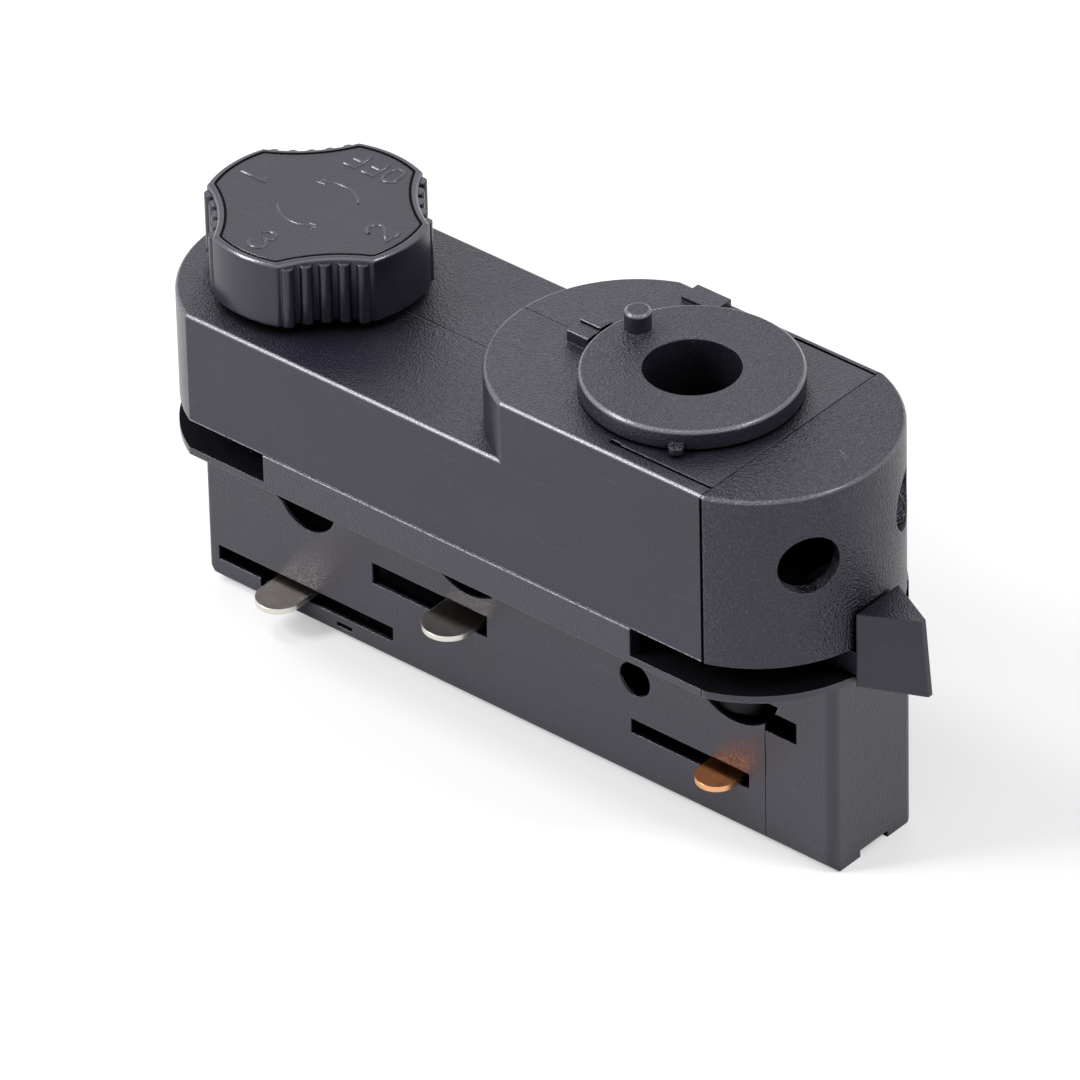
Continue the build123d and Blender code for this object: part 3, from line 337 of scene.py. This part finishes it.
# Moulded charcoal plastic in its several skins
def mouldedPlastic(name, look):
    material, tree, shader = newMaterial(name)
    coords = addNode(tree, "ShaderNodeTexCoord")
    place = splitVector(tree, coords.outputs["Object"])
    facing = splitVector(tree, coords.outputs["Normal"])
    rising = mapValue(tree, facing["Z"], skinMasks["filletRise"])
    notLevel = mapValue(tree, facing["Z"], skinMasks["filletEnd"], 1, 0)
    fillet = mathNode(tree, "MULTIPLY", rising, notLevel)
    sideDepth = look["grainDepth"] * look["sideGrain"]
    depth = mapValue(tree, facing["Z"], skinMasks["deckFacing"], sideDepth, look["grainDepth"])
    grain = useGroup(
        tree, sparkGrain, {"Grain Size": look["grainSize"], "Unevenness": skinMasks["unevenness"]}
    )
    edge = useGroup(
        tree, edgeCatch, {"Radius": look["edgeRadius"], "Bump": depth, "Height": grain["Height"]}
    )
    wear = useGroup(
        tree, handling, {"Cloud Size": skinMasks["cloudSize"], "Scuffs": look["scuffs"]}
    )

    tone = mapValue(tree, wear["Tone"], skinMasks["toneSpan"])
    colour = blendColour(tree, tone, look["dark"], look["light"])
    # Lighter marks toward edgeColour: grain specks, a lightening of sharp edges, a painted highlight on
    # every fillet, and faint scuffs
    marks = (
        mathNode(tree, "MULTIPLY", grain["Speck"], look["speck"]),
        mathNode(tree, "MULTIPLY", edge["Edge"], look["edgeLightening"]),
        mathNode(tree, "MULTIPLY", fillet, look["filletHighlight"]),
        wear["Scuff"],
    )
    for mark in marks:
        colour = blendColour(tree, mark, colour, look["edgeColour"])
    # A painted highlight: a light line along the ledge at ledgeHeight, broken up by the grain
    ledge = distanceFrom(tree, place["Z"], look["ledgeHeight"])
    ledgeGlint = mapValue(tree, ledge, skinMasks["ledgeWidth"], look["ledgeHighlight"], 0)
    ledgeGlint = mathNode(tree, "MULTIPLY", ledgeGlint, grain["Broken"])
    colour = blendColour(tree, ledgeGlint, colour, look["ledgeHighlightColour"])

    opened = unshadedSkin(tree, look, place, facing, notLevel)
    spread = skinMasks["roughnessSpread"]
    rough = mapValue(
        tree, wear["Tone"], skinMasks["toneSpan"], look["roughness"] - spread, look["roughness"] + spread
    )
    smoother = mathNode(tree, "MULTIPLY", fillet, look["edgeShine"])
    skinRough = mathNode(tree, "SUBTRACT", rough, smoother, clamp=True)
    # Painted shade: where the skin is shaded it gets the near-black shade colour, full roughness and
    # Metallic 1, so it renders black
    inShade = mathNode(tree, "SUBTRACT", 1.0, opened)
    coat = mathNode(tree, "MULTIPLY", fillet, look["filletCoat"])
    finish = {
        "Base Color": blendColour(tree, opened, look["gapShadeColour"], colour),
        "Roughness": mathNode(tree, "MAXIMUM", skinRough, inShade),
        "Metallic": inShade,  # a black metal has none of the plastic's sheen, so gaps stay dark
        "Coat Weight": mathNode(tree, "MULTIPLY", coat, opened),
        "Coat Roughness": look["coatRoughness"],
        "Normal": edge["Normal"],
        "Specular IOR Level": look["specular"],
        "Specular Tint": look["specularTint"],
    }
    for label, value in finish.items():
        fill(tree, shader.inputs[label], value)
    return material


charcoal = {
    "dark": (0.0085, 0.0078, 0.0135, 1),
    "light": (0.0135, 0.0122, 0.0205, 1),
    "edgeColour": (0.16, 0.155, 0.18, 1),
    "gapShadeColour": (0.0015, 0.0015, 0.002, 1),
    "gapReach": 0.014,
    "seamReach": 0.0006,
    "ledgeHeight": -0.029,
    "ledgeHighlight": 0.0,
    "ledgeHighlightColour": (0.5, 0.49, 0.53, 1),
    "grainSize": 0.0003,
    "grainDepth": 0.35,
    "sideGrain": 0.25,
    "edgeRadius": 0.00035,
    "edgeLightening": 0.15,
    "edgeShine": 0.06,
    "filletHighlight": 0.5,
    "filletCoat": 0.7,
    "coatRoughness": 0.22,
    "roughness": 0.32,
    "specular": 0.5,
    "specularTint": (0.90, 0.86, 1.0, 1),
    "scuffs": 0.04,
    "speck": 0.1,
}
# Painted shade: every face inside this box, the narrow body's inner faces, is painted black
bodyShadedInside = ((-0.0786, -0.0069, -0.0603), (0.0285, 0.0085, -0.0336))  # just inside the narrow body's walls
crossSeam = 0.0164  # where the shells meet the end housing
plasticLooks = {
    "housingPlastic": {
        **charcoal,
        "grainDepth": 0.6,
        "speck": 0.2,
        "ledgeHighlight": 0.6,
        "filletHighlight": 0.4,
        "seamLine": crossSeam,
    },
    "endPlastic": {
        **charcoal,
        "grainDepth": 1.5,
        "grainSize": 0.00036,
        "sideGrain": 1.0,
        "speck": 0.5,
        "filletHighlight": 0.3,
        "seamLine": crossSeam,
    },
    "trackPlastic": {
        **charcoal,
        "dark": (0.0035, 0.003, 0.007, 1),
        "light": (0.007, 0.006, 0.012, 1),
        "grainDepth": 0.5,
        "grainSize": 0.00025,
        "sideGrain": 0.9,
        "roughness": 0.21,
        "specular": 0.74,
        "speck": 0.05,
        "ledgeHighlight": 0.6,
        # Painted shade: black inside the body's walls, and on the up-facing levels at these heights
        "shadedInside": bodyShadedInside,
        "shadedLevels": (-0.0332, -0.0608),
    },
    "knobPlastic": {
        **charcoal,
        "grainDepth": 0.1,
        "roughness": 0.25,
        "edgeShine": 0.08,
        "speck": 0.05,
        "filletHighlight": 0.25,
        "filletCoat": 1.0,
    },
    "facePlastic": {
        **charcoal,
        "dark": (0.0075, 0.0068, 0.0115, 1),
        "light": (0.0115, 0.0105, 0.0175, 1),
        "grainDepth": 0.25,
        "roughness": 0.4,
        "speck": 0.2,
        "specular": 0.42,
    },
    "markPlastic": {**charcoal, "grainDepth": 0.1, "roughness": 0.3, "filletHighlight": 0.2, "filletCoat": 0.8},
    "discPlastic": {
        **charcoal,
        "grainDepth": 1.3,
        "grainSize": 0.00032,
        "speck": 0.5,
        "specular": 0.56,
        "filletCoat": 1.0,
    },
    "leverPlastic": {**charcoal, "grainDepth": 0.3},
    # Painted shade: a darker, duller copy of the charcoal for parts that sit inside the housing
    "innerPlastic": {
        **charcoal,
        "dark": (0.004, 0.004, 0.005, 1),
        "light": (0.007, 0.007, 0.008, 1),
        "grainDepth": 0.1,
        "roughness": 0.5,
        "specular": 0.2,
        "filletHighlight": 0.1,
        "filletCoat": 0.1,
    },
    "scratchedPlastic": {
        **charcoal,
        "dark": (0.09, 0.087, 0.1, 1),
        "light": (0.16, 0.155, 0.18, 1),
        "filletHighlight": 0.1,
        "filletCoat": 0.2,
    },
    "washerPlastic": {
        **charcoal,
        "dark": (0.5, 0.48, 0.43, 1),
        "light": (0.58, 0.56, 0.5, 1),
        "edgeColour": (0.7, 0.68, 0.6, 1),
    },
}


metalMasks = {
    "rimFacing": (0.3, 0.7),
    "stainSpan": (0.42, 0.68),
    "streakSpan": (0.3, 0.7),
    "streakLength": 0.012,
    "roughnessSpread": 0.02,
}


# Stamped or turned metal
def metal(name, look):
    material, tree, shader = newMaterial(name)
    marks = useGroup(
        tree, rollMarks, {"Length": metalMasks["streakLength"], "Width": look["streakWidth"]}
    )
    edge = useGroup(
        tree, edgeCatch, {"Radius": look["edgeRadius"], "Bump": look["bump"], "Height": marks["Streak"]}
    )
    staining = mapValue(tree, marks["Stain"], metalMasks["stainSpan"], 0, look["stain"])
    stained = blendColour(tree, staining, look["colour"], look["stainColour"])
    facing = splitVector(tree, addNode(tree, "ShaderNodeTexCoord").outputs["Normal"])
    upright = mathNode(tree, "ABSOLUTE", facing["Z"])
    rim = mapValue(tree, upright, metalMasks["rimFacing"], look["rim"], 0)
    cut = mathNode(tree, "MAXIMUM", edge["Edge"], rim)
    spread = metalMasks["roughnessSpread"]
    finish = {
        "Base Color": blendColour(tree, cut, stained, look["edgeColour"]),
        "Roughness": mapValue(
            tree, marks["Streak"], metalMasks["streakSpan"],
            look["roughness"] - spread, look["roughness"] + spread,
        ),
        "Metallic": 1.0,
        "Normal": edge["Normal"],
    }
    for label, value in finish.items():
        fill(tree, shader.inputs[label], value)
    return material


sheetMetal = {
    "colour": (0.40, 0.37, 0.33, 1),
    "stainColour": (0.27, 0.24, 0.21, 1),
    "edgeColour": (0.93, 0.90, 0.82, 1),
    "stain": 0.5,
    "rim": 0.65,
    "streakWidth": 0.0003,
    "edgeRadius": 0.00018,
    "bump": 0.01,
    "roughness": 0.3,
}
metalLooks = {
    "silveredBlade": sheetMetal,
    "copperBlade": {
        **sheetMetal,
        "colour": (0.62, 0.25, 0.09, 1),
        "stainColour": (0.36, 0.13, 0.06, 1),
        "edgeColour": (0.95, 0.50, 0.26, 1),
    },
    "zincScrew": {**sheetMetal, "colour": (0.55, 0.55, 0.53, 1), "stain": 0.3},
    "springSteel": {**sheetMetal, "colour": (0.42, 0.42, 0.42, 1), "roughness": 0.35},
    "terminalBrass": {**sheetMetal, "colour": (0.66, 0.48, 0.2, 1), "stainColour": (0.35, 0.22, 0.08, 1)},
}

materials = {name: mouldedPlastic(name, look) for name, look in plasticLooks.items()}
materials.update({name: metal(name, look) for name, look in metalLooks.items()})

nodeFinish = {
    "housingPlastic": ("front_shell", "rear_shell"),
    "endPlastic": ("end_housing",),
    "trackPlastic": ("track_body", "track_body_end"),
    "knobPlastic": ("selector_knob",),
    "facePlastic": ("knob_face_plate",),
    "discPlastic": ("swivel_disc",),
    "leverPlastic": ("locking_lever",),
    "innerPlastic": (
        "bearing_plate", "terminal_carrier", "selector_shaft", "detent_wheel",
        "lever_shaft", "neutral_rotor", "neutral_crank",
    ),
    "washerPlastic": ("friction_washer",),
    "silveredBlade": ("phase_blade", "neutral_blade", "phase_contact", "neutral_contact"),
    "copperBlade": ("earth_blade", "earth_contact"),
    "zincScrew": (
        "base_screws", "cross_screws", "end_screw", "knob_screw", "terminal_screws",
        "lever_crank_pin", "neutral_crank_pin",
    ),
    "springSteel": ("knob_clip", "retaining_ring", "detent_spring", "link_bar"),
    "terminalBrass": ("terminal_blocks",),
}
for finish, members in nodeFinish.items():
    for member in members:
        item = nodes[member]
        for place in item.material_slots:
            place.material = materials[finish]
        if not item.material_slots:
            item.data.materials.append(materials[finish])
print("scene: finishes given to", sum(len(m) for m in nodeFinish.values()), "nodes")


strokeMaking = {"startSize": 0.001, "bevelSteps": 3}


# A rounded line along points, drawn in edit mode from one vertex and given its thickness as a curve
def raisedStroke(points, height, radius):
    clearSelection()
    start = (points[0][0], points[0][1], height)
    bpy.ops.mesh.primitive_plane_add(size=strokeMaking["startSize"], location=start)
    bpy.ops.object.transform_apply(location=True)
    bpy.ops.object.mode_set(mode="EDIT")
    bpy.ops.mesh.select_all(action="SELECT")
    bpy.ops.mesh.merge(type="CENTER")
    for before, after in zip(points, points[1:]):
        step = (after[0] - before[0], after[1] - before[1], 0)
        bpy.ops.mesh.extrude_region_move(TRANSFORM_OT_translate={"value": step})
    bpy.ops.object.mode_set(mode="OBJECT")
    bpy.ops.object.convert(target="CURVE")
    line = bpy.context.active_object
    line.data.bevel_depth = radius
    line.data.bevel_resolution = strokeMaking["bevelSteps"]
    line.data.use_fill_caps = True
    bpy.ops.object.convert(target="MESH")
    return bpy.context.active_object


def joinStrokes(lines, name, material, body):
    pick(*lines)
    if len(lines) > 1:
        bpy.ops.object.join()
    joined = bpy.context.active_object
    joined.name = name
    applyPlace(joined)
    bpy.ops.object.shade_smooth()
    joined.data.materials.clear()
    joined.data.materials.append(material)
    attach(joined, body)
    return joined


knobFace = {"centreX": -0.0638, "topZ": -0.0011}
knobMarks = {
    **knobFace,
    "strokeRadius": 0.0003,
    "arrowStroke": 0.0002,
    "sink": 0.0001,
    "digits": {"1": 180, "2": 0, "3": -90},  # the side of the face where each stands, in degrees
    "digitHeight": 0.0041,
    "digitMiddle": 0.3,  # as a share of its height
    "digitDistance": 0.0109,
    "word": "OFF",
    "wordHeight": 0.0034,
    "wordDistance": 0.0112,
    "wordShift": 0.0003,
    "letterPitch": 0.0031,
    "arrowRadius": 0.0053,
    "arrowSpan": (38, 132),
    "arrowSteps": 12,
    "arrowBarb": 0.0013,
    "barbLean": 150,
}
# Each form is drawn in strokes on a field one high, from its lower left corner
strokeForms = {
    "1": [[(0.22, 0.86), (0.4, 1.0), (0.4, 0.0)]],
    "2": [[
        (0.0, 0.74), (0.06, 0.9), (0.18, 0.98), (0.32, 1.0), (0.47, 0.97), (0.58, 0.86), (0.6, 0.72),
        (0.54, 0.58), (0.0, 0.0), (0.64, 0.0),
    ]],
    "3": [[
        (0.02, 0.8), (0.08, 0.92), (0.2, 0.99), (0.34, 1.0), (0.48, 0.94), (0.55, 0.82), (0.53, 0.67),
        (0.42, 0.57), (0.26, 0.54), (0.44, 0.5), (0.56, 0.4), (0.6, 0.26), (0.54, 0.1), (0.4, 0.01),
        (0.24, 0.0), (0.08, 0.07), (0.0, 0.2),
    ]],
    "O": [[
        (0.3, 0.0), (0.14, 0.04), (0.04, 0.16), (0.0, 0.34), (0.0, 0.66), (0.04, 0.84), (0.14, 0.96),
        (0.3, 1.0), (0.46, 0.96), (0.56, 0.84), (0.6, 0.66), (0.6, 0.34), (0.56, 0.16), (0.46, 0.04),
        (0.3, 0.0),
    ]],
    "F": [[(0.0, 0.0), (0.0, 1.0), (0.55, 1.0)], [(0.0, 0.52), (0.45, 0.52)]],
}


# The strokes of one form, with its lower left corner at origin and its line of reading turned
def placedForm(form, origin, turn, height):
    reading = heading(turn)
    upward = Vector((-reading.y, reading.x))
    return [
        [origin + reading * (x * height) + upward * (y * height) for x, y in stroke]
        for stroke in strokeForms[form]
    ]


def digitStrokes(settings, centre):
    strokes = []
    height = settings["digitHeight"]
    for form, side in settings["digits"].items():
        outward, reading = heading(side), heading(side + 90)
        start = centre + outward * (settings["digitDistance"] + height / 2)
        start -= reading * (settings["digitMiddle"] * height)
        strokes += placedForm(form, start, side + 90, height)
    return strokes


def wordStrokes(settings, centre):
    strokes = []
    height, pitch, word = settings["wordHeight"], settings["letterPitch"], settings["word"]
    reading = Vector((-1, 0))
    start = centre + Vector((0, settings["wordDistance"] + height / 2))
    start -= reading * (len(word) / 2 * pitch)
    for index, letter in enumerate(word):
        corner = start + reading * (index * pitch + settings["wordShift"])
        strokes += placedForm(letter, corner, 180, height)
    return strokes


def arrowStrokes(settings, centre):
    strokes = []
    low, high = settings["arrowSpan"]
    steps = settings["arrowSteps"]
    for half in (0, 180):
        angles = [low + half + (high - low) * i / steps for i in range(steps + 1)]
        arc = [centre + heading(angle) * settings["arrowRadius"] for angle in angles]
        strokes.append(arc)
        onward = (arc[-1] - arc[-2]).normalized()
        for lean in (radians(settings["barbLean"]), -radians(settings["barbLean"])):
            barb = Vector((
                onward.x * cos(lean) - onward.y * sin(lean),
                onward.x * sin(lean) + onward.y * cos(lean),
            ))
            strokes.append([arc[-1], arc[-1] + barb * settings["arrowBarb"]])
    return strokes


def makeKnobMarks(settings):
    centre = Vector((settings["centreX"], 0))
    level = settings["topZ"] - settings["sink"]
    signs = digitStrokes(settings, centre) + wordStrokes(settings, centre)
    lines = [raisedStroke(points, level, settings["strokeRadius"]) for points in signs]
    arrows = arrowStrokes(settings, centre)
    lines += [raisedStroke(points, level, settings["arrowStroke"]) for points in arrows]
    return joinStrokes(lines, "knobMarks", materials["markPlastic"], "selector")


makeKnobMarks(knobMarks)
print("scene: knob markings made")


grooveShadowLine = {
    **knobFace,
    "below": 0.00002,
    "lobeRadius": 0.0146,
    "valleyRadius": 0.0122,
    "cuspRadius": 0.0156,
    "grooveOffset": 0.001,
    "scallopHalf": 24,
    "corners": (45, 135, 225, 315),
    "lineRadius": 0.00014,
    "colour": (0.0012, 0.0012, 0.0015, 1),
    "roughness": 0.9,
    "specular": 0.1,
}


# Distance of the groove from the knob's middle: four lobes, with a round scallop at each corner
def grooveReach(settings, degrees):
    valley = settings["valleyRadius"] + settings["grooveOffset"]
    spread = settings["cuspRadius"] * cos(radians(settings["scallopHalf"])) - valley
    distance = (settings["cuspRadius"]**2 - valley**2) / (2 * spread)
    bite = distance - settings["valleyRadius"]
    reach = settings["lobeRadius"]
    for corner in settings["corners"]:
        away = radians(degrees - corner)
        inside = bite**2 - (distance * sin(away)) ** 2
        if cos(away) > 0 and inside > 0:
            reach = min(reach, distance * cos(away) - inside**0.5)
    return reach


# A painted shadow line: a near-black stroke sunk in the groove round the knob's face plate
def makeGrooveShadowLine(settings):
    centre = Vector((settings["centreX"], 0))
    points = [centre + heading(degrees) * grooveReach(settings, degrees) for degrees in range(361)]
    line = raisedStroke(points, settings["topZ"] - settings["below"], settings["lineRadius"])
    material, tree, shader = newMaterial("grooveShadowLine")
    shader.inputs["Base Color"].default_value = settings["colour"]
    shader.inputs["Roughness"].default_value = settings["roughness"]
    shader.inputs["Specular IOR Level"].default_value = settings["specular"]
    return joinStrokes([line], "grooveShadowLine", material, "selector")


makeGrooveShadowLine(grooveShadowLine)

deckScratches = {
    "deckZ": -0.00322,
    "lineRadius": 0.00007,
    "strokes": [
        [(0.0236, 0.0009), (0.0243, 0.0005), (0.0249, 0.0007)],
        [(0.0245, 0.0001), (0.0252, -0.0001), (0.0257, -0.0006)],
        [(0.0249, 0.0004), (0.0256, 0.0)],
    ],
}


# Small scratches on the deck of the end housing
def makeDeckScratches(settings):
    lines = [
        raisedStroke(stroke, settings["deckZ"], settings["lineRadius"]) for stroke in settings["strokes"]
    ]
    scratched = materials["scratchedPlastic"]
    return joinStrokes(lines, "deckScratches", scratched, "housing")


makeDeckScratches(deckScratches)
print("scene: groove_shade and scratches made")


# 1 for rays that show the surroundings themselves: seen, mirrored or through something clear
def shownDirectly(tree):
    path = addNode(tree, "ShaderNodeLightPath")
    shown = mathNode(tree, "MAXIMUM", path.outputs["Is Camera Ray"], path.outputs["Is Glossy Ray"])
    return mathNode(tree, "MAXIMUM", shown, path.outputs["Is Transmission Ray"])


floorLook = {
    "size": 3.0,
    "drop": 0.00002,
    "colour": (0.97, 0.97, 0.97, 1),
    "roughness": 0.7,
    "specular": 0.1,
    "whiteness": 0.4,
}


def makeFloor(settings):
    clearSelection()
    low = cadBox[0][2] - settings["drop"]
    bpy.ops.mesh.primitive_plane_add(size=settings["size"], location=(0, 0, low))
    floor = bpy.context.active_object
    floor.name = "paleFloor"
    material, tree, shader = newMaterial("paleFloor")
    shader.inputs["Base Color"].default_value = settings["colour"]
    shader.inputs["Roughness"].default_value = settings["roughness"]
    shader.inputs["Specular IOR Level"].default_value = settings["specular"]
    white = addNode(tree, "ShaderNodeEmission")
    white.inputs["Color"].default_value = settings["colour"]
    blend = addNode(tree, "ShaderNodeMixShader")
    share = mathNode(tree, "MULTIPLY", shownDirectly(tree), settings["whiteness"])
    tree.links.new(share, blend.inputs["Fac"])
    tree.links.new(shader.outputs["BSDF"], blend.inputs[1])
    tree.links.new(white.outputs["Emission"], blend.inputs[2])
    tree.links.new(blend.outputs["Shader"], tree.nodes["Material Output"].inputs["Surface"])
    floor.data.materials.append(material)


makeFloor(floorLook)

worldLook = {"strength": 0.35, "colour": (0.98, 0.98, 1.0, 1)}


def makeBackdrop(settings):
    world = scene.world or bpy.data.worlds.new("studio")
    scene.world = world
    world.use_nodes = True
    tree = world.node_tree
    backdrop = tree.nodes["Background"]
    level = mathNode(tree, "MAXIMUM", shownDirectly(tree), settings["strength"])
    tree.links.new(level, backdrop.inputs["Strength"])
    backdrop.inputs["Color"].default_value = settings["colour"]


makeBackdrop(worldLook)

middle = (-0.02, 0, -0.02)  # what most of the lamps point at
lamps = [
    {"name": "behindSoftbox", "place": (-0.43, 0.50, 0.45), "aim": middle, "size": 0.5, "power": 0.92},
    {"name": "highGlint", "place": (-0.43, -0.13, 0.66), "aim": middle, "size": 0.16, "power": 1.6},
    {"name": "frontGlint", "place": (-0.44, -0.45, 0.50), "aim": middle, "size": 0.24, "power": 4.0},
    {"name": "lowGlint", "place": (-0.43, -0.60, 0.30), "aim": middle, "size": 0.16, "power": 1.4},
    {"name": "rightGlint", "place": (0.53, 0.16, 0.57), "aim": middle, "size": 0.2, "power": 2.4},
    {"name": "topSoftbox", "place": (0.2, -0.25, 0.75), "aim": middle, "size": 0.4, "power": 0.6},
    {"name": "endSoftbox", "place": (0.8, -0.15, 0.25), "aim": (0.0, 0, -0.03), "size": 0.4, "power": 0.8},
]


def addLamp(settings):
    clearSelection()
    bpy.ops.object.light_add(type="AREA", location=settings["place"])
    light = bpy.context.active_object
    light.name = settings["name"]
    light.data.shape = "SQUARE"
    light.data.size = settings["size"]
    light.data.energy = settings["power"]
    towards = Vector(settings["aim"]) - Vector(settings["place"])
    light.rotation_euler = towards.to_track_quat("-Z", "Y").to_euler()


for lamp in lamps:
    addLamp(lamp)

# The photograph's own camera, as solved from its edges: it looks at the origin, which the photograph
# shows at the pixel named seen
cameraLook = {
    "azimuth": 40.276,
    "elevation": 33.987,
    "roll": -0.851,
    "distance": 1.50913,
    "focalPixels": 11795.3,
    "seen": (692.2, 367.1),
    "framePixels": 1080,
    "sensorWidth": 36.0,
    "farthest": 20.0,
}


def makeCamera(settings):
    azimuth, elevation = radians(settings["azimuth"]), radians(settings["elevation"])
    back = Vector((sin(azimuth) * cos(elevation), -cos(azimuth) * cos(elevation), sin(elevation)))
    right = Vector((cos(azimuth), sin(azimuth), 0))
    up = back.cross(right)
    roll = radians(settings["roll"])
    rolledRight = right * cos(roll) + up * sin(roll)
    rolledUp = up * cos(roll) - right * sin(roll)
    place = back * settings["distance"]
    clearSelection()
    bpy.ops.object.camera_add(location=place)
    camera = bpy.context.active_object
    camera.matrix_world = Matrix((
        (rolledRight.x, rolledUp.x, back.x, place.x),
        (rolledRight.y, rolledUp.y, back.y, place.y),
        (rolledRight.z, rolledUp.z, back.z, place.z),
        (0, 0, 0, 1),
    ))
    size = settings["framePixels"]
    camera.data.sensor_width = settings["sensorWidth"]
    camera.data.lens = settings["focalPixels"] / size * settings["sensorWidth"]
    camera.data.shift_x = (size / 2 - settings["seen"][0]) / size
    camera.data.shift_y = (settings["seen"][1] - size / 2) / size
    camera.data.clip_end = settings["farthest"]
    scene.camera = camera


makeCamera(cameraLook)
scene.view_settings.view_transform = "Standard"
print("scene: floor, light and camera set")
